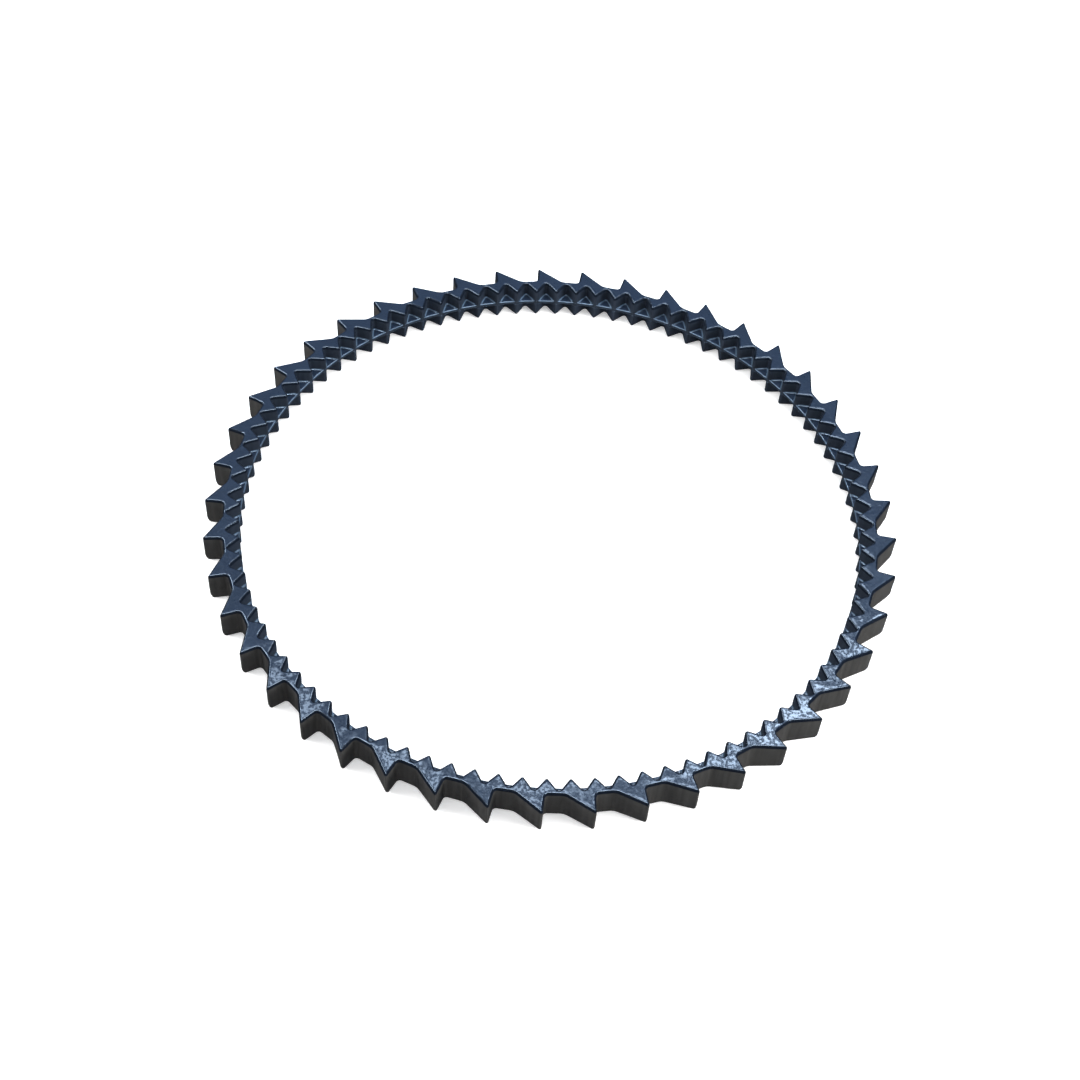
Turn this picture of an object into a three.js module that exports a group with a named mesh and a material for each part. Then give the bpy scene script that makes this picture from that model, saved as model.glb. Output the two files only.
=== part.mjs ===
// Ring-shaped rubber track: saw-tooth tread outside, two rows of V drive teeth inside with a
// locating web between them, and tension cord turns sealed in the thin neck between the teeth.
// Millimetres, +Z up along the ring's axis. The origin is on that axis at mid-width, and the
// first tread tooth points along +X.
import * as THREE from "three";

// Belt
const drivePitch = 10; // spacing of the drive teeth along the pitch line
const driveToothCount = 90;
const trackWidth = 16; // along Z
const neckThickness = 2.2; // from the bottom of a drive valley to a tread gullet

// Tread teeth: a steep rake face, a flat gullet floor, then the long back of the next tooth
const treadToothCount = 45;
const treadToothHeight = 8.1;
const rakeLean = 0.75; // how far the foot of the rake face stands on past its tip
const gulletFloorLength = 8;
const treadTipFillet = 0.7;
const rakeFootFillet = 1.6;
const backFootFillet = 5;

// Drive teeth and the web that locates the track on its wheel
const driveFlankAngle = 37.5; // degrees from the tooth's centre line to its flank
const driveTipFillet = 0.9;
const driveValleyFillet = 0.95;
const driveLead = 0.5; // degrees from a tread tip on to the drive tooth under it
const webThickness = 1.8;
const webRecess = 0.4; // from the circle of the drive tips out to the web's inner edge

// Tension cord, wound side by side: each turn is a closed hoop
const cordTurnCount = 8;
const cordDiameter = 0.6;
const cordSides = 6;
const cordEdgeMargin = 1.75; // from the track's edge to the middle of the outermost turn

// Clearances between pieces that are bonded together in the real track
const cordClearance = 0.15;
const webClearance = 0.2;

// Sizes that follow
const degree = Math.PI / 180;
const pitchRadius = (driveToothCount * drivePitch) / (2 * Math.PI);
const gulletRadius = pitchRadius + neckThickness / 2;
const valleyRadius = pitchRadius - neckThickness / 2;
const cordRoom = cordDiameter / 2 + cordClearance;
const treadInnerRadius = pitchRadius + cordRoom;
const driveOuterRadius = pitchRadius - cordRoom;
const driveStep = 360 / driveToothCount;
const treadStep = 360 / treadToothCount;

// Every ring has one facet per drive tooth, with its corners on the valleys, so that the walls
// of neighbouring rings stay the same distance apart all the way round.
const facetStart = driveLead + driveStep / 2;

// How far a fillet keeps a corner's material away from the sharp corner's point.
const filletSetback = (fillet, halfAngle) => fillet * (1 / Math.sin(halfAngle * degree) - 1);

function polar(radius, degrees) {
  return new THREE.Vector2(radius * Math.cos(degrees * degree), radius * Math.sin(degrees * degree));
}

// Points of a closed outline whose corners are rounded, each by its own fillet.
function roundedOutline(corners) {
  const points = [];
  corners.forEach((corner, i) => {
    const before = corners[(i + corners.length - 1) % corners.length].point;
    const after = corners[(i + 1) % corners.length].point;
    const toBefore = before.clone().sub(corner.point);
    const toAfter = after.clone().sub(corner.point);
    const longestTangent = 0.45 * Math.min(toBefore.length(), toAfter.length());
    toBefore.normalize();
    toAfter.normalize();
    const half = Math.acos(toBefore.dot(toAfter)) / 2;
    const tangent = Math.min(corner.fillet / Math.tan(half), longestTangent);
    const radius = tangent * Math.tan(half);
    const centre = toBefore.clone().add(toAfter).setLength(radius / Math.sin(half)).add(corner.point);
    const start = toBefore.multiplyScalar(tangent).add(corner.point).sub(centre);
    const end = toAfter.multiplyScalar(tangent).add(corner.point).sub(centre);
    const turn = Math.atan2(start.cross(end), start.dot(end));
    for (let step = 0; step <= corner.steps; step += 1) {
      const spoke = start.clone().rotateAround(new THREE.Vector2(), (turn * step) / corner.steps);
      points.push(spoke.add(centre));
    }
  });
  return points;
}

function ringPoints(radius) {
  const points = [];
  for (let i = 0; i < driveToothCount; i += 1) points.push(polar(radius, facetStart + i * driveStep));
  return points;
}

function treadOutline() {
  const mmToDegrees = 1 / (gulletRadius * degree);
  const backAngle = treadStep - (rakeLean + gulletFloorLength) * mmToDegrees;
  const backSlope = Math.atan2(treadToothHeight, backAngle * degree * gulletRadius) / degree;
  const tipHalfAngle = (90 - backSlope) / 2;
  const tipRadius = gulletRadius + treadToothHeight + filletSetback(treadTipFillet, tipHalfAngle);
  const corners = [];
  for (let i = 0; i < treadToothCount; i += 1) {
    const tip = i * treadStep;
    const rakeFoot = tip + rakeLean * mmToDegrees;
    const backFoot = rakeFoot + gulletFloorLength * mmToDegrees;
    corners.push({ point: polar(tipRadius, tip), fillet: treadTipFillet, steps: 2 });
    corners.push({ point: polar(gulletRadius, rakeFoot), fillet: rakeFootFillet, steps: 3 });
    corners.push({ point: polar(gulletRadius, backFoot), fillet: backFootFillet, steps: 3 });
  }
  return roundedOutline(corners);
}

function driveOutline() {
  const halfStep = (driveStep / 2) * degree;
  const valleyHalfAngle = driveFlankAngle - driveStep / 2;
  const valleyCorner = valleyRadius + filletSetback(driveValleyFillet, valleyHalfAngle);
  const toothRise = (valleyCorner * Math.sin(halfStep)) / Math.tan(driveFlankAngle * degree);
  const tipCorner = valleyCorner * Math.cos(halfStep) - toothRise;
  const corners = [];
  for (let i = 0; i < driveToothCount; i += 1) {
    const tip = driveLead + i * driveStep;
    corners.push({ point: polar(tipCorner, tip), fillet: driveTipFillet, steps: 2 });
    corners.push({ point: polar(valleyCorner, tip + driveStep / 2), fillet: driveValleyFillet, steps: 2 });
  }
  const tipRadius = tipCorner + filletSetback(driveTipFillet, driveFlankAngle);
  return { points: roundedOutline(corners), tipRadius };
}

// The drive teeth run through the web, so its inner edge is a circle from tooth tip to tooth tip.
function webOutline(drive) {
  const edgeRadius = drive.tipRadius + webRecess;
  return drive.points.map((point) => point.clone().setLength(Math.min(point.length(), edgeRadius)));
}

// A ring of one section all the way through, from the height low to the height high.
function layer(outerPoints, innerPoints, low, high) {
  const shape = new THREE.Shape(outerPoints);
  shape.holes.push(new THREE.Path(innerPoints));
  const geometry = new THREE.ExtrudeGeometry(shape, { depth: high - low, bevelEnabled: false });
  return geometry.translate(0, 0, low);
}

function cordHoop() {
  const section = [];
  for (let side = 0; side <= cordSides; side += 1) {
    const corner = polar(cordDiameter / 2, ((side % cordSides) * 360) / cordSides);
    section.push(corner.add(new THREE.Vector2(pitchRadius, 0)));
  }
  const geometry = new THREE.LatheGeometry(section, driveToothCount);
  return geometry.rotateX(Math.PI / 2).rotateZ(Math.PI / 2 + facetStart * degree);
}

const treadRubber = { color: 0x2c3646, roughness: 0.32, metalness: 0 };
const driveRubber = { color: 0x26303f, roughness: 0.38, metalness: 0 };
const webRubber = { color: 0x303b4d, roughness: 0.3, metalness: 0 };
const cordFibre = { color: 0xd8cfb4, roughness: 0.8, metalness: 0 };

const track = new THREE.Group();

function add(name, geometry, finish) {
  const mesh = new THREE.Mesh(geometry, new THREE.MeshStandardMaterial(finish));
  mesh.name = name;
  track.add(mesh);
  return mesh;
}

const halfWidth = trackWidth / 2;
const halfWeb = webThickness / 2;
const drive = driveOutline();
const driveBack = ringPoints(driveOuterRadius);

add("tread_band", layer(treadOutline(), ringPoints(treadInnerRadius), -halfWidth, halfWidth), treadRubber);
const rowFoot = halfWeb + webClearance;
add("drive_row_upper", layer(driveBack, drive.points, rowFoot, halfWidth), driveRubber);
add("drive_row_lower", layer(driveBack, drive.points, -halfWidth, -rowFoot), driveRubber);
add("centre_web", layer(driveBack, webOutline(drive), -halfWeb, halfWeb), webRubber);

const cordSpacing = (trackWidth - 2 * cordEdgeMargin) / (cordTurnCount - 1);
for (let turn = 1; turn <= cordTurnCount; turn += 1) {
  const hoop = add(`tension_cord_turn_${turn}`, cordHoop(), cordFibre);
  hoop.position.z = -halfWidth + cordEdgeMargin + (turn - 1) * cordSpacing;
}

export default track;
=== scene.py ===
"""A ring-shaped rubber track, moulded in one, with tension cords in its neck, on a pale floor."""
import math

import bmesh
import bpy
import numpy as np
from mathutils import Matrix, Vector, noise


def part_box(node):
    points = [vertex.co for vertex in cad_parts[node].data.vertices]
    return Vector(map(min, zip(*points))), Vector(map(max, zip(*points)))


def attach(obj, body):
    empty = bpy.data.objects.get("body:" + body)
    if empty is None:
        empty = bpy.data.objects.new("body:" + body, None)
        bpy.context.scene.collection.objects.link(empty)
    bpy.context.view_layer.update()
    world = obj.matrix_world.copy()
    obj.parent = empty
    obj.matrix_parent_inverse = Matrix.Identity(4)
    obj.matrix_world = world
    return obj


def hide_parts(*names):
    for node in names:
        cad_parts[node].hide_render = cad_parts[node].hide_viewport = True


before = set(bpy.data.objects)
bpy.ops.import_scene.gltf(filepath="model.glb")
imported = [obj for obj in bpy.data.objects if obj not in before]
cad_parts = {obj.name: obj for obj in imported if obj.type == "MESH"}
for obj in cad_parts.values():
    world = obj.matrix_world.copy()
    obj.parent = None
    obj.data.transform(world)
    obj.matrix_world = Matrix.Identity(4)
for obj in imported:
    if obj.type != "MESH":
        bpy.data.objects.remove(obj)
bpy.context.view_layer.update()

MM = 0.001
DEGREE = math.pi / 180

# Teeth, as the track's mould has them
DRIVE_PITCH = 10 * MM
DRIVE_TEETH = 90
TREAD_TEETH = 45
NECK = 2.2 * MM
RAKE_LEAN = 0.75 * MM
GULLET_FLOOR = 8 * MM
TREAD_HEIGHT = 8.1 * MM
TREAD_TIP_FILLET = 0.7 * MM
RAKE_FOOT_FILLET = 1.6 * MM
BACK_FOOT_FILLET = 5 * MM
DRIVE_FLANK = 37.5 * DEGREE
DRIVE_TIP_FILLET = 0.9 * MM
DRIVE_VALLEY_FILLET = 0.95 * MM
DRIVE_LEAD = 0.5 * DEGREE
WEB_RECESS = 0.4 * MM
CORD_CLEARANCE = 0.15 * MM

# Rounding that the mould leaves: rims by their width and drop, the web by its two fillets, and
# the tread teeth's lower corners by how much height they lose and over how much width
RIM = 1.05 * MM
RIM_DROP = 1.5 * MM
WEB_FILLET = 0.9 * MM
WEB_EDGE = 0.55 * MM
SHOULDER = 2.2 * MM
SHOULDER_DROP = 4.5 * MM
SHARPEST_FILLET = 0.15 * MM

# Rubber above and below the slot that the cords lie in
LIP_DEPTH = 0.8 * MM

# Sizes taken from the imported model
TREAD_LOW, TREAD_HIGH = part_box("tread_band")
CORD_LOW, CORD_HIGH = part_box("tension_cord_turn_1")
HALF_WIDTH = TREAD_HIGH.z
HALF_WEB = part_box("centre_web")[1].z
CORD_RADIUS = (CORD_HIGH.z - CORD_LOW.z) / 2

# Sizes that follow
PITCH_RADIUS = DRIVE_TEETH * DRIVE_PITCH / (2 * math.pi)
GULLET_RADIUS = PITCH_RADIUS + NECK / 2
VALLEY_RADIUS = PITCH_RADIUS - NECK / 2
TIP_RADIUS = GULLET_RADIUS + TREAD_HEIGHT
DRIVE_STEP = 2 * math.pi / DRIVE_TEETH
TREAD_STEP = 2 * math.pi / TREAD_TEETH
CORD_SLOT = CORD_RADIUS + CORD_CLEARANCE

# How finely the skins are divided
SPACING = 1.2 * MM
TREAD_FILLET_STEPS = 5
DRIVE_TIP_STEPS = 4
DRIVE_VALLEY_STEPS = 5
RIM_STEPS = 5
FACE_STEPS = 5
WALL_STEPS = 9
ROW_STEPS = 4
WEB_STEPS = 4
CORD_SIDES = 8
CORD_LENGTHS = 360

# How the skins are shaded: the turn from which an edge is sharp, and how much more a large
# face counts than the small ones of a rim beside it
SHARP_TURN = 65 * DEGREE
LARGE_FACE_WEIGHT = 80

# Unevenness of the moulded surface
WAVE_LENGTH = 6 * MM
WAVE_HEIGHT = 0.05 * MM
RIPPLE_LENGTH = 2.4 * MM
RIPPLE_HEIGHT = 0.02 * MM
WAVE_SEED = 1

# Where finishes change over, by how squarely a surface looks up or down: 0 on a wall, 1 on a face
FACE_LEAN = (0.93, 0.985)
RIM_LEAN = (0.15, 0.45)
# Where the painted highlight on the fillets round the web fades in from the walls and out towards the
# faces
HIGHLIGHT_FROM_WALL = (0.25, 0.50)
HIGHLIGHT_TO_FACE = (0.88, 0.97)

# Camera
CAMERA_SENSOR = 36.0
CAMERA_LENS = 60.9
CAMERA_ELEVATION = 51.77 * DEGREE
CAMERA_ROLL = 4.63 * DEGREE
CAMERA_DISTANCE = 5.331 * TIP_RADIUS
CAMERA_ASIDE = -0.0284 * TIP_RADIUS
CAMERA_DROP = -0.0596 * TIP_RADIUS

# Studio lights, in metres. A panel is its place across and along the ceiling, and its brightness.
CEILING = 0.64
PANEL_SIZE = (0.09, 0.07)
CEILING_PANELS = [
    (-0.22, 0.29, 10), (-0.11, 0.22, 12), (-0.02, 0.15, 11), (0.01, 0.26, 12), (0.08, 0.18, 13),
    (0.12, 0.29, 19), (0.18, 0.21, 22), (0.22, 0.31, 24), (0.28, 0.24, 24), (0.31, 0.36, 20),
    (0.22, 0.42, 16), (0.10, 0.08, 12)]
FRONT_STRIP_PLACE = (0, -0.20, CEILING)
FRONT_STRIP_SIZE = (0.9, 0.10)
LEFT_STRIP_PLACE = (-0.60, 0.20, CEILING)
LEFT_STRIP_AIM = (0, 0.20, 0)
LEFT_STRIP_SIZE = (0.7, 0.10)
STRIP_BRIGHTNESS = 36.0
SOFTBOX_SIZE = (0.5, 0.4)
RIGHT_SOFTBOX_PLACE = (1.0, -0.3, 0.30)
RIGHT_SOFTBOX_BRIGHTNESS = 36.0
LEFT_SOFTBOX_PLACE = (-1.0, -0.1, 0.30)
LEFT_SOFTBOX_BRIGHTNESS = 22.0
CENTRE = (0, 0, 0)
COOL = (0.60, 0.77, 1.0)
PLAIN = (1.0, 0.99, 0.97)

# Studio floor and room. The stops of the room in gloss run from the horizon to straight overhead.
FLOOR_REACH = 3.0
FLOOR_GLOW = 0.32
ROOM_BRIGHTNESS = 1.1
ROOM_IN_GLOSS = [(0.0, (0.02, 0.025, 0.04)), (0.55, (0.07, 0.11, 0.20)), (1.0, (0.03, 0.05, 0.10))]


# ---------------------------------------------------------------- outlines of the teeth

def polar(radius, angle):
    return np.array([radius * math.cos(angle), radius * math.sin(angle)])


def setback(fillet, half_angle):
    """How far a fillet keeps the rubber away from a sharp corner's point."""
    return fillet * (1 / math.sin(half_angle) - 1)


def tread_corners():
    floor_angle = GULLET_FLOOR / GULLET_RADIUS
    lean_angle = RAKE_LEAN / GULLET_RADIUS
    back_angle = TREAD_STEP - floor_angle - lean_angle
    back_slope = math.atan2(TREAD_HEIGHT, back_angle * GULLET_RADIUS)
    tip_corner = TIP_RADIUS + setback(TREAD_TIP_FILLET, (math.pi / 2 - back_slope) / 2)
    corners = []
    for tooth in range(TREAD_TEETH):
        tip = polar(tip_corner, tooth * TREAD_STEP)
        rake_angle = tooth * TREAD_STEP + lean_angle
        rake_foot = polar(GULLET_RADIUS, rake_angle)
        back_foot = polar(GULLET_RADIUS, rake_angle + floor_angle)
        corners.append((tip, TREAD_TIP_FILLET, TREAD_FILLET_STEPS))
        corners.append((rake_foot, RAKE_FOOT_FILLET, TREAD_FILLET_STEPS))
        corners.append((back_foot, BACK_FOOT_FILLET, TREAD_FILLET_STEPS))
    return corners


def drive_corner_radii():
    """Distances from the axis of a drive tooth's sharp tip and of the sharp valley beside it."""
    valley = VALLEY_RADIUS + setback(DRIVE_VALLEY_FILLET, DRIVE_FLANK - DRIVE_STEP / 2)
    rise = valley * math.sin(DRIVE_STEP / 2) / math.tan(DRIVE_FLANK)
    return valley * math.cos(DRIVE_STEP / 2) - rise, valley


def drive_corners():
    tip_corner, valley_corner = drive_corner_radii()
    corners = []
    for tooth in range(DRIVE_TEETH):
        angle = DRIVE_LEAD + tooth * DRIVE_STEP
        tip = polar(tip_corner, angle)
        valley = polar(valley_corner, angle + DRIVE_STEP / 2)
        corners.append((tip, DRIVE_TIP_FILLET, DRIVE_TIP_STEPS))
        corners.append((valley, DRIVE_VALLEY_FILLET, DRIVE_VALLEY_STEPS))
    return corners


def drive_tip_radius():
    tip_corner, _ = drive_corner_radii()
    return tip_corner + setback(DRIVE_TIP_FILLET, DRIVE_FLANK)


def unit(vector):
    return vector / np.linalg.norm(vector)


def left_of(direction):
    return np.array([-direction[1], direction[0]])


class Outline:
    """A closed row of filleted corners, each a point, its fillet and the steps of its arc.
    cut(inset) is the same outline pulled into the rubber by inset, with the same number of
    points, so that cuts at different insets join into a skin."""

    def __init__(self, corners, rubber_side):
        self.corners = corners
        self.rubber_side = rubber_side
        self.runs = [self.run_count(i) for i in range(len(corners))]

    def neighbours(self, i):
        count = len(self.corners)
        return self.corners[i - 1][0], self.corners[i][0], self.corners[(i + 1) % count][0]

    def run_count(self, i):
        """Steps of the straight run after a corner, which is shorter than from point to point."""
        _, here, after = self.neighbours(i)
        return max(2, round(np.linalg.norm(after - here) / SPACING) - 2)

    def shifted(self, i, inset):
        before, here, after = self.neighbours(i)
        into, out = unit(here - before), unit(after - here)
        normals = left_of(into), left_of(out)
        shift = self.rubber_side * inset * (normals[0] + normals[1]) / (1 + normals[0] @ normals[1])
        return here + shift, into, out

    def arc(self, i, inset):
        corner, into, out = self.shifted(i, inset)
        _, fillet, steps = self.corners[i]
        turn = math.atan2(into[0] * out[1] - into[1] * out[0], into @ out)
        outward_corner = turn * self.rubber_side > 0
        radius = max(fillet + (-inset if outward_corner else inset), SHARPEST_FILLET)
        tangent = radius * math.tan(abs(turn) / 2)
        side = math.copysign(1, turn)
        start = corner - into * tangent
        centre = start + side * radius * left_of(into)
        spoke = start - centre
        points = []
        for step in range(steps + 1):
            angle = turn * step / steps
            cosine, sine = math.cos(angle), math.sin(angle)
            turned = [spoke[0] * cosine - spoke[1] * sine, spoke[0] * sine + spoke[1] * cosine]
            points.append(centre + np.array(turned))
        return points

    def cut(self, inset):
        arcs = [self.arc(i, inset) for i in range(len(self.corners))]
        points = []
        for i, arc in enumerate(arcs):
            points.extend(arc)
            end, start = arc[-1], arcs[(i + 1) % len(arcs)][0]
            for step in range(1, self.runs[i]):
                points.append(end + (start - end) * step / self.runs[i])
        return np.array(points)


# ---------------------------------------------------------------- skins

def at_height(points, height):
    return np.column_stack([points, np.full(len(points), height)])


def on_circle(points, radius):
    """The same points moved along their own radii on to a circle."""
    return points / np.linalg.norm(points, axis=1)[:, None] * radius


def upside_down(rows):
    """The same rows on the other side of mid-width, in reverse order."""
    return [row * [1, 1, -1] for row in reversed(rows)]


def between(first, last, steps, ends=(True, True)):
    """Rows from first to last in equal steps, with or without the two end rows."""
    rows = [first + (last - first) * step / steps for step in range(1, steps)]
    return ([first] if ends[0] else []) + rows + ([last] if ends[1] else [])


def face_rows(edge, face_height):
    """The flat face from the pitch line to the edge where its rim starts, without that edge."""
    seam = at_height(on_circle(edge, PITCH_RADIUS), face_height)
    return between(seam, at_height(edge, face_height), FACE_STEPS, ends=(True, False))


def rim_rows(outline, face_height):
    """The rounded rim from the flat face, at inset RIM, down to the wall, RIM_DROP below it."""
    down = math.copysign(1, face_height)
    rows = []
    for step in range(RIM_STEPS + 1):
        angle = math.pi / 2 * step / RIM_STEPS
        cut = outline.cut(RIM * (1 - math.sin(angle)))
        rows.append(at_height(cut, face_height - down * RIM_DROP * (1 - math.cos(angle))))
    return rows


def moulding_waviness(points):
    """Small unevenness of moulded rubber. It depends only on the place, so neighbouring skins
    that meet stay together."""
    noise.seed_set(WAVE_SEED)
    moved = []
    for point in points:
        place = Vector(point)
        broad = noise.noise_vector(place / WAVE_LENGTH) * WAVE_HEIGHT
        close = noise.noise_vector(place / RIPPLE_LENGTH) * RIPPLE_HEIGHT
        moved.append(place + broad + close)
    return moved


def skin(name, rows):
    """A closed band round the ring: rows follow each other round its section."""
    count = len(rows[0])
    points = moulding_waviness(np.concatenate(rows))
    faces = []
    for row in range(len(rows)):
        near, far = row * count, (row + 1) % len(rows) * count
        for i in range(count):
            after = (i + 1) % count
            faces.append((near + i, near + after, far + after, far + i))
    mesh = bpy.data.meshes.new(name)
    mesh.from_pydata(points, [], faces)
    mesh.validate()
    mesh.shade_smooth()
    mesh.set_sharp_from_angle(angle=SHARP_TURN)
    face_outwards(mesh)
    piece = bpy.data.objects.new(name, mesh)
    bpy.context.scene.collection.objects.link(piece)
    keep_flats_flat(piece)
    return piece


def face_outwards(mesh):
    bm = bmesh.new()
    bm.from_mesh(mesh)
    bmesh.ops.recalc_face_normals(bm, faces=bm.faces)
    bm.to_mesh(mesh)
    bm.free()


def keep_flats_flat(piece):
    """Shades each flat face evenly up to its rim, and leaves the sharp edges sharp."""
    shading = piece.modifiers.new("keep_flats_flat", "WEIGHTED_NORMAL")
    shading.weight = LARGE_FACE_WEIGHT
    shading.keep_sharp = True


def ease_shoulder(points):
    """The tread teeth made lower towards the lower face, so that their tips' corners there are
    round, over SHOULDER_DROP of height."""
    drop = np.clip((HALF_WIDTH + points[:, 2]) / SHOULDER_DROP, 0, 1)
    share = 1 - SHOULDER / TREAD_HEIGHT * (1 - np.sqrt(1 - (1 - drop) ** 2))
    reach = np.linalg.norm(points[:, :2], axis=1)
    eased = GULLET_RADIUS + (reach - GULLET_RADIUS) * share
    turned = np.where(reach > GULLET_RADIUS, eased / reach, 1)[:, None]
    return np.column_stack([points[:, :2] * turned, points[:, 2]])


def tread_skin():
    """Tread rubber: saw teeth outside, and inside the slot that the cords lie in, closed at both
    faces by a lip that reaches in to the pitch line."""
    outline = Outline(tread_corners(), rubber_side=1)
    flat_edge = outline.cut(RIM)
    upper = face_rows(flat_edge, HALF_WIDTH)
    upper_rim, lower_rim = rim_rows(outline, HALF_WIDTH), rim_rows(outline, -HALF_WIDTH)[::-1]
    wall = between(upper_rim[-1], lower_rim[0], WALL_STEPS, ends=(False, False))
    outside = [ease_shoulder(row) for row in [*wall, *lower_rim, *upside_down(upper)]]
    lip_edge = on_circle(flat_edge, PITCH_RADIUS)
    slot_wall = on_circle(flat_edge, PITCH_RADIUS + CORD_SLOT)
    lip = HALF_WIDTH - LIP_DEPTH
    slot = [
        at_height(lip_edge, -lip), at_height(slot_wall, -lip),
        at_height(slot_wall, lip), at_height(lip_edge, lip)]
    return skin("tread_rubber_skin", [*upper, *upper_rim, *outside, *slot])


def drive_row_skin(name, side):
    """One row of V drive teeth, from a face of the ring (side 1 or -1) to the web's fillet."""
    outline = Outline(drive_corners(), rubber_side=-1)
    flat_edge = outline.cut(RIM)
    face = face_rows(flat_edge, side * HALF_WIDTH)
    rim = rim_rows(outline, side * HALF_WIDTH)
    foot_height = side * (HALF_WEB + WEB_FILLET)
    foot = at_height(outline.cut(0), foot_height)
    wall = between(rim[-1], foot, ROW_STEPS, ends=(False, True))
    slot_wall = on_circle(flat_edge, PITCH_RADIUS - CORD_SLOT)
    lip = side * (HALF_WIDTH - LIP_DEPTH)
    back = [
        at_height(slot_wall, foot_height), at_height(slot_wall, lip),
        at_height(on_circle(flat_edge, PITCH_RADIUS), lip)]
    return skin(name, [*face, *rim, *wall, *back])


def web_skin():
    """The web between the rows: a fillet out of the valleys, a flat, and a rounded inner edge.
    The drive teeth run through it, so their tips show as bars across its edge."""
    outline = Outline(drive_corners(), rubber_side=-1)
    teeth = outline.cut(0)
    tooth_angles = np.arctan2(teeth[:, 1], teeth[:, 0])
    order = np.argsort(tooth_angles)
    tooth_angles = tooth_angles[order]
    tooth_reach = np.linalg.norm(teeth, axis=1)[order]
    edge_radius = drive_tip_radius() + WEB_RECESS
    flat_radius = edge_radius + WEB_EDGE

    def row(points, height, nearest, furthest=TIP_RADIUS):
        """The points held between two radii, and out of the space inside the teeth."""
        reach = np.linalg.norm(points, axis=1)
        angles = np.arctan2(points[:, 1], points[:, 0])
        teeth_here = np.interp(angles, tooth_angles, tooth_reach, period=2 * math.pi)
        held = np.minimum(np.clip(reach, nearest, furthest), teeth_here)
        return at_height(points * (held / reach)[:, None], height)

    upper = []
    for step in range(RIM_STEPS + 1):
        angle = math.pi / 2 * step / RIM_STEPS
        cut = outline.cut(-WEB_FILLET * (1 - math.cos(angle)))
        upper.append(row(cut, HALF_WEB + WEB_FILLET * (1 - math.sin(angle)), flat_radius))
    foot = outline.cut(-WEB_FILLET)
    flat_end = row(foot, HALF_WEB, flat_radius, flat_radius)
    upper.extend(between(upper[-1], flat_end, WEB_STEPS, ends=(False, True)))
    for step in range(1, RIM_STEPS + 1):
        angle = math.pi / 2 * step / RIM_STEPS
        radius = edge_radius + WEB_EDGE * (1 - math.sin(angle))
        upper.append(row(foot, HALF_WEB - WEB_EDGE * (1 - math.cos(angle)), radius, radius))
    back = [at_height(on_circle(foot, PITCH_RADIUS - CORD_SLOT), HALF_WEB + WEB_FILLET)]
    return skin("web_skin", [*upper, *upside_down(upper), *upside_down(back), *back])


def cord_turn(node):
    """One turn of the tension cord, round where the frame has it."""
    low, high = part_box(node)
    height = (low.z + high.z) / 2
    rows = []
    for side in range(CORD_SIDES):
        angle = 2 * math.pi * side / CORD_SIDES
        radius = PITCH_RADIUS + CORD_RADIUS * math.cos(angle)
        turn = [polar(radius, 2 * math.pi * i / CORD_LENGTHS) for i in range(CORD_LENGTHS)]
        rows.append(at_height(np.array(turn), height + CORD_RADIUS * math.sin(angle)))
    return skin(node.replace("tension_cord", "wound_cord"), rows)


# ---------------------------------------------------------------- finishes

def shading_sum(operation, reflected=False):
    def run(self, other):
        values = (other, self) if reflected else (self, other)
        return self.finish.maths(operation, *values)
    return run


class Shade:
    """One socket of a finish. Sums on it add the nodes that work them out."""

    def __init__(self, finish, socket):
        self.finish = finish
        self.socket = socket

    __add__, __radd__ = shading_sum("ADD"), shading_sum("ADD", reflected=True)
    __sub__, __rsub__ = shading_sum("SUBTRACT"), shading_sum("SUBTRACT", reflected=True)
    __mul__, __rmul__ = shading_sum("MULTIPLY"), shading_sum("MULTIPLY", reflected=True)


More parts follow.
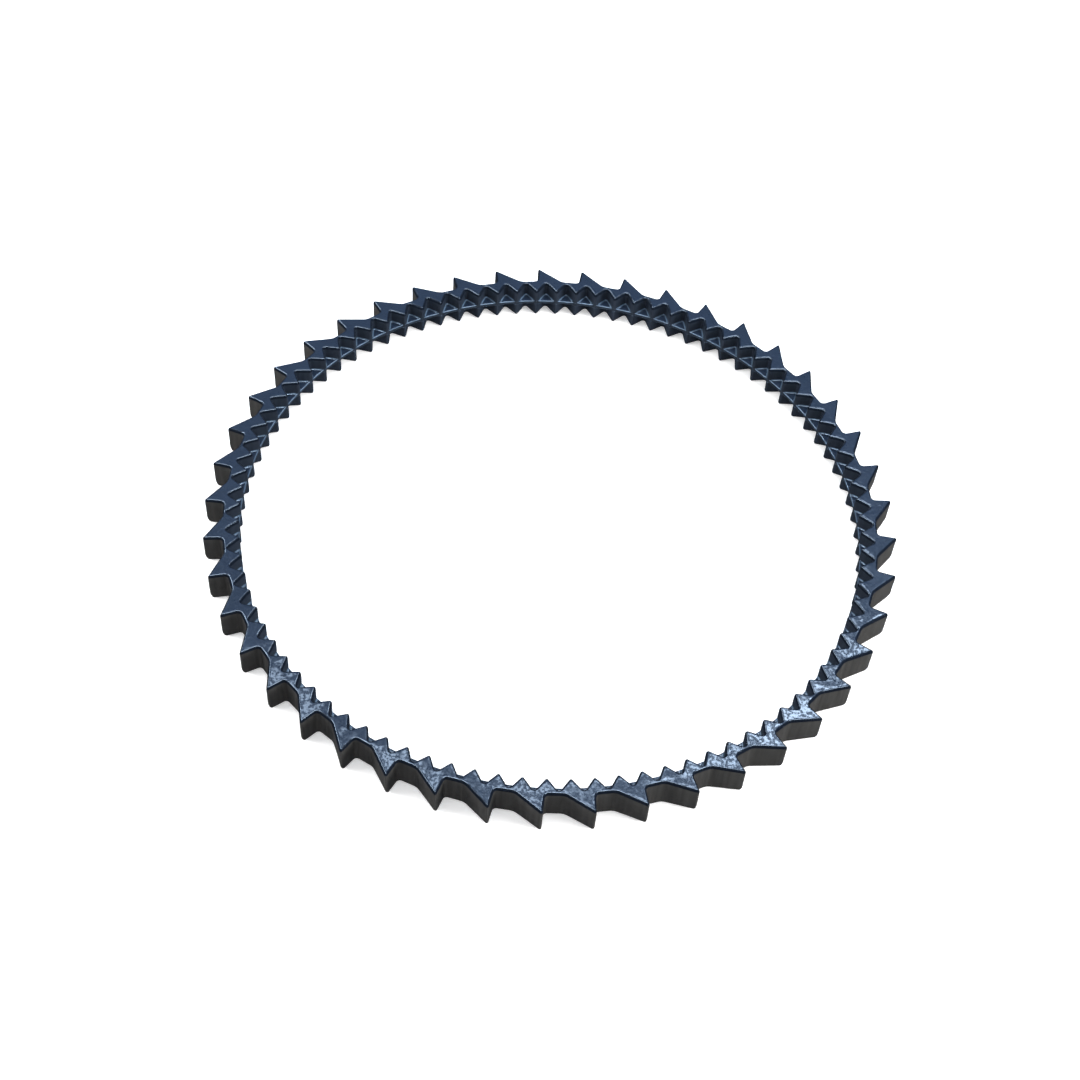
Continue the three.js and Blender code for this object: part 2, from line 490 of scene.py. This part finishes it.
class Finish:
    """A material or the studio's room being made: its nodes, and the shader that they feed."""

    def __init__(self, owner, shader):
        owner.use_nodes = True
        self.owner = owner
        self.tree = owner.node_tree
        self.shader = self.tree.nodes[shader]

    def node(self, kind, settings, sockets, output=0):
        made = self.tree.nodes.new(kind)
        for name, value in settings.items():
            if name == "stops":
                self.set_stops(made.color_ramp, value)
            else:
                setattr(made, name, value)
        for key, value in sockets.items():
            self.feed(made.inputs[key], value)
        return Shade(self, made.outputs[output])

    def set_stops(self, ramp, stops):
        while len(ramp.elements) < len(stops):
            ramp.elements.new(1)
        for element, (position, tint) in zip(ramp.elements, stops):
            element.position = position
            element.color = tint

    def feed(self, socket, value):
        if isinstance(value, Shade):
            self.tree.links.new(value.socket, socket)
        else:
            socket.default_value = value

    def feed_output(self, shade):
        output = next(node for node in self.tree.nodes if node.type.startswith("OUTPUT"))
        self.tree.links.new(shade.socket, output.inputs["Surface"])

    def set(self, **sockets):
        for name, value in sockets.items():
            self.feed(self.shader.inputs[name.replace("_", " ")], value)

    def maths(self, operation, *values):
        return self.node("ShaderNodeMath", {"operation": operation}, dict(enumerate(values)))

    def mix(self, share, first, second):
        return self.node("ShaderNodeMix", {"data_type": "RGBA"}, {0: share, 6: first, 7: second}, output=2)

    def place(self):
        return self.node("ShaderNodeTexCoord", {}, {}, output="Object")

    def height(self, vector):
        """A place's or a direction's part along the ring's axis."""
        return self.node("ShaderNodeSeparateXYZ", {}, {0: vector}, output="Z")

    def stretched(self, place, stretch):
        return self.node("ShaderNodeVectorMath", {"operation": "MULTIPLY"}, {0: place, 1: stretch})

    def reach(self, place):
        """Distance from the ring's axis."""
        flat = self.stretched(place, (1, 1, 0))
        return self.node("ShaderNodeVectorMath", {"operation": "LENGTH"}, {0: flat}, output="Value")

    def grain(self, place, size, detail=2.0):
        return self.node("ShaderNodeTexNoise", {}, {"Vector": place, "Scale": 1 / size, "Detail": detail})

    def rise(self, value, start, end):
        """0 up to start, 1 from end on, and smooth between them."""
        return self.node(
            "ShaderNodeMapRange", {"interpolation_type": "SMOOTHSTEP"},
            {"Value": value, "From Min": start, "From Max": end})

    def bump(self, height, distance):
        return self.node("ShaderNodeBump", {}, {"Height": height, "Distance": distance})


def colour(red, green, blue):
    return (red, green, blue, 1.0)


def new_finish(name):
    return Finish(bpy.data.materials.new(name), "Principled BSDF")


def moulded_rubber(name):
    """Blue-black rubber as it leaves the mould: faces with a wet, rippled gloss, whose navy is partly
    the rubber's own tint and partly a painted reflection of the blue overhead light; rims painted
    near-black as painted shade, widest round the upper face; satin walls with faint tool marks
    down them, grey and painted lighter outside as painted light, darker and bluer inside as
    painted shade; and corners round the web painted paler as a painted highlight."""
    finish = new_finish(name)
    place = finish.place()
    height = finish.height(place)
    normal = finish.node("ShaderNodeNewGeometry", {}, {}, output="Normal")
    lean = finish.maths("ABSOLUTE", finish.height(normal))

    face = finish.rise(lean, *FACE_LEAN)
    # Faces and rims, the rims reaching further down the wall at the upper face: the rims' near-black there
    # is painted shade, widest round the upper face, and the same mask makes them glossy
    upper_rim = finish.rise(height, HALF_WIDTH - RIM_DROP, HALF_WIDTH - 0.75 * RIM_DROP)
    rim = finish.maths("MAXIMUM", upper_rim, finish.rise(lean, *RIM_LEAN))
    tread = finish.rise(finish.reach(place), PITCH_RADIUS, GULLET_RADIUS)
    depth = finish.maths("ABSOLUTE", height)
    # The fillets round the web, where a paler colour is a painted highlight of the overhead light they
    # reflect
    round_web = 1 - finish.rise(depth, HALF_WEB + WEB_FILLET, HALF_WEB + 1.2 * WEB_FILLET)
    painted_fillet_highlight = round_web * finish.rise(lean, *HIGHLIGHT_FROM_WALL) * (1 - finish.rise(lean, *HIGHLIGHT_TO_FACE))

    cloud = finish.grain(place, 14 * MM)
    speck = finish.grain(place, 0.9 * MM, 3.0)
    streak = finish.grain(finish.stretched(place, (1, 1, 0.06)), 1.4 * MM, 3.0)
    peel = finish.grain(place, 1.7 * MM)
    bloom = finish.rise(finish.grain(place, 1.2 * MM, 3.0), 0.43, 0.57)

    # The faces' navy is partly the rubber's own tint and partly a painted reflection of the blue overhead
    # light
    face_tint_and_painted_reflection = finish.mix(cloud, colour(0.010, 0.017, 0.031), colour(0.016, 0.026, 0.046))
    # Near-black on the rims is painted shade, standing in for the dark room that they reflect
    rim_painted_shade = colour(0.003, 0.005, 0.009)
    # The walls' streaks are tool marks; the outer tread walls are painted lighter and warmer as painted
    # light, and the inner drive walls darker and bluer as painted shade
    drive_wall_marks_and_painted_shade = finish.mix(streak, colour(0.005, 0.008, 0.013), colour(0.017, 0.023, 0.035))
    tread_wall_marks_and_painted_light = finish.mix(streak, colour(0.014, 0.014, 0.014), colour(0.044, 0.043, 0.041))
    edges = finish.mix(rim, finish.mix(tread, drive_wall_marks_and_painted_shade, tread_wall_marks_and_painted_light), rim_painted_shade)
    rubber = finish.mix(face, edges, face_tint_and_painted_reflection)
    finish.set(
        # The paler blue on the web's fillets is a painted highlight
        Base_Color=finish.mix(painted_fillet_highlight, rubber, colour(0.055, 0.085, 0.125)),
        Roughness=0.50 + 0.14 * (streak - 0.5) - 0.20 * rim,
        Coat_Weight=rim * (1 - 0.9 * face * bloom),
        Coat_Roughness=0.07,
        Coat_IOR=1.5,
        Specular_IOR_Level=0.15,
        Normal=finish.bump(face * peel + 0.12 * speck + 0.14 * (1 - face) * streak, 0.3 * MM))
    return finish.owner


def tension_cord_yarn():
    """Twisted pale yarn, dipped so that rubber bonds to it."""
    finish = new_finish("tension_cord_yarn")
    place = finish.place()
    strand = finish.grain(finish.stretched(place, (1, 1, 4)), 0.3 * MM)
    dip = finish.rise(finish.grain(place, 5 * MM), 0.45, 0.7)
    raw = finish.mix(strand, colour(0.42, 0.35, 0.22), colour(0.78, 0.70, 0.52))
    finish.set(
        Base_Color=finish.mix(dip, raw, colour(0.30, 0.17, 0.09)),
        Roughness=0.62 + 0.25 * strand,
        Specular_IOR_Level=0.3,
        Normal=finish.bump(strand, 0.08 * MM))
    return finish.owner


def studio_floor_paint():
    """Matt white that glows a little, which thins the shadow on it."""
    finish = new_finish("studio_floor_paint")
    white = colour(0.93, 0.93, 0.93)
    finish.set(
        Base_Color=white, Roughness=0.9, Specular_IOR_Level=0.1,
        Emission_Color=white, Emission_Strength=FLOOR_GLOW)
    return finish.owner


# ---------------------------------------------------------------- the track

def fit(piece, material, node):
    """Gives a piece its finish, and puts it in the place of a node of the frame."""
    piece.data.materials.append(material)
    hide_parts(node)
    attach(piece, "root")


def build_track():
    rubber = moulded_rubber("moulded_rubber")
    fit(tread_skin(), rubber, "tread_band")
    fit(drive_row_skin("drive_row_upper_skin", 1), rubber, "drive_row_upper")
    fit(drive_row_skin("drive_row_lower_skin", -1), rubber, "drive_row_lower")
    fit(web_skin(), rubber, "centre_web")
    yarn = tension_cord_yarn()
    for node in sorted(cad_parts):
        if node.startswith("tension_cord"):
            fit(cord_turn(node), yarn, node)


# ---------------------------------------------------------------- floor, light and camera

def lay_floor():
    """The floor that the ring lies on. Gloss doesn't see it, so that the rims stay dark."""
    far = FLOOR_REACH
    mesh = bpy.data.meshes.new("studio_floor")
    mesh.from_pydata([(-far, -far, 0), (far, -far, 0), (far, far, 0), (-far, far, 0)], [], [(0, 1, 2, 3)])
    mesh.materials.append(studio_floor_paint())
    floor = bpy.data.objects.new("studio_floor", mesh)
    floor.location.z = TREAD_LOW.z
    floor.visible_glossy = False
    bpy.context.scene.collection.objects.link(floor)


def fill_room():
    """White light from all round. In gloss the room shows as a blue-black dome, as a studio
    with dark walls does."""
    world = bpy.data.worlds.new("studio_room")
    bpy.context.scene.world = world
    room = Finish(world, "Background")
    room.set(Color=colour(1, 1, 1), Strength=ROOM_BRIGHTNESS)
    white = Shade(room, room.shader.outputs[0])
    direction = room.node("ShaderNodeTexCoord", {}, {}, output="Generated")
    stops = [(position, colour(*tint)) for position, tint in ROOM_IN_GLOSS]
    shade = room.node("ShaderNodeValToRGB", {"stops": stops}, {0: room.height(direction)})
    dome = room.node("ShaderNodeBackground", {}, {"Color": shade})
    in_gloss = room.node("ShaderNodeLightPath", {}, {}, output="Is Glossy Ray")
    room.feed_output(room.node("ShaderNodeMixShader", {}, {0: in_gloss, 1: white, 2: dome}))


def hang_softbox(name, place, aim, size, brightness, tint):
    """A rectangular soft light at place, facing aim. brightness is its radiance."""
    light = bpy.data.lights.new(name, "AREA")
    light.shape = "RECTANGLE"
    light.size, light.size_y = size
    light.energy = brightness * math.pi * size[0] * size[1]
    light.color = tint
    lamp = bpy.data.objects.new(name, light)
    lamp.location = place
    lamp.rotation_euler = (Vector(place) - Vector(aim)).to_track_quat("Z", "Y").to_euler()
    bpy.context.scene.collection.objects.link(lamp)
    return lamp


def hang_lights():
    """Small panels overhead that mottle the faces' gloss, two strips that show only in gloss,
    and a softbox at each side that lights the walls and doesn't show in gloss."""
    for across, along, brightness in CEILING_PANELS:
        hang_softbox(
            "ceiling_panel", (across, along, CEILING), (across, along, 0), PANEL_SIZE, brightness, COOL)
    front_strip = hang_softbox(
        "front_strip", FRONT_STRIP_PLACE, CENTRE, FRONT_STRIP_SIZE, STRIP_BRIGHTNESS, COOL)
    left_strip = hang_softbox(
        "left_strip", LEFT_STRIP_PLACE, LEFT_STRIP_AIM, LEFT_STRIP_SIZE, STRIP_BRIGHTNESS, COOL)
    front_strip.visible_diffuse = False
    left_strip.visible_diffuse = False
    right_softbox = hang_softbox(
        "right_softbox", RIGHT_SOFTBOX_PLACE, CENTRE, SOFTBOX_SIZE, RIGHT_SOFTBOX_BRIGHTNESS, PLAIN)
    left_softbox = hang_softbox(
        "left_softbox", LEFT_SOFTBOX_PLACE, CENTRE, SOFTBOX_SIZE, LEFT_SOFTBOX_BRIGHTNESS, PLAIN)
    right_softbox.visible_glossy = False
    left_softbox.visible_glossy = False


def set_camera():
    """The camera looks down on the ring from the front, a little rolled."""
    forward = Vector((0, math.cos(CAMERA_ELEVATION), -math.sin(CAMERA_ELEVATION)))
    right = Vector((1, 0, 0))
    up = right.cross(forward)
    place = -forward * CAMERA_DISTANCE + right * CAMERA_ASIDE + up * CAMERA_DROP
    rolled_right = right * math.cos(CAMERA_ROLL) + up * math.sin(CAMERA_ROLL)
    rolled_up = up * math.cos(CAMERA_ROLL) - right * math.sin(CAMERA_ROLL)
    data = bpy.data.cameras.new("studio_camera")
    data.lens = CAMERA_LENS
    data.sensor_width = CAMERA_SENSOR
    camera = bpy.data.objects.new("studio_camera", data)
    turn = Matrix((rolled_right, rolled_up, -forward)).transposed()
    camera.matrix_world = Matrix.Translation(place) @ turn.to_4x4()
    bpy.context.scene.collection.objects.link(camera)
    bpy.context.scene.camera = camera


set_camera()
lay_floor()
fill_room()
hang_lights()
build_track()
bpy.context.scene.view_settings.view_transform = "Standard"
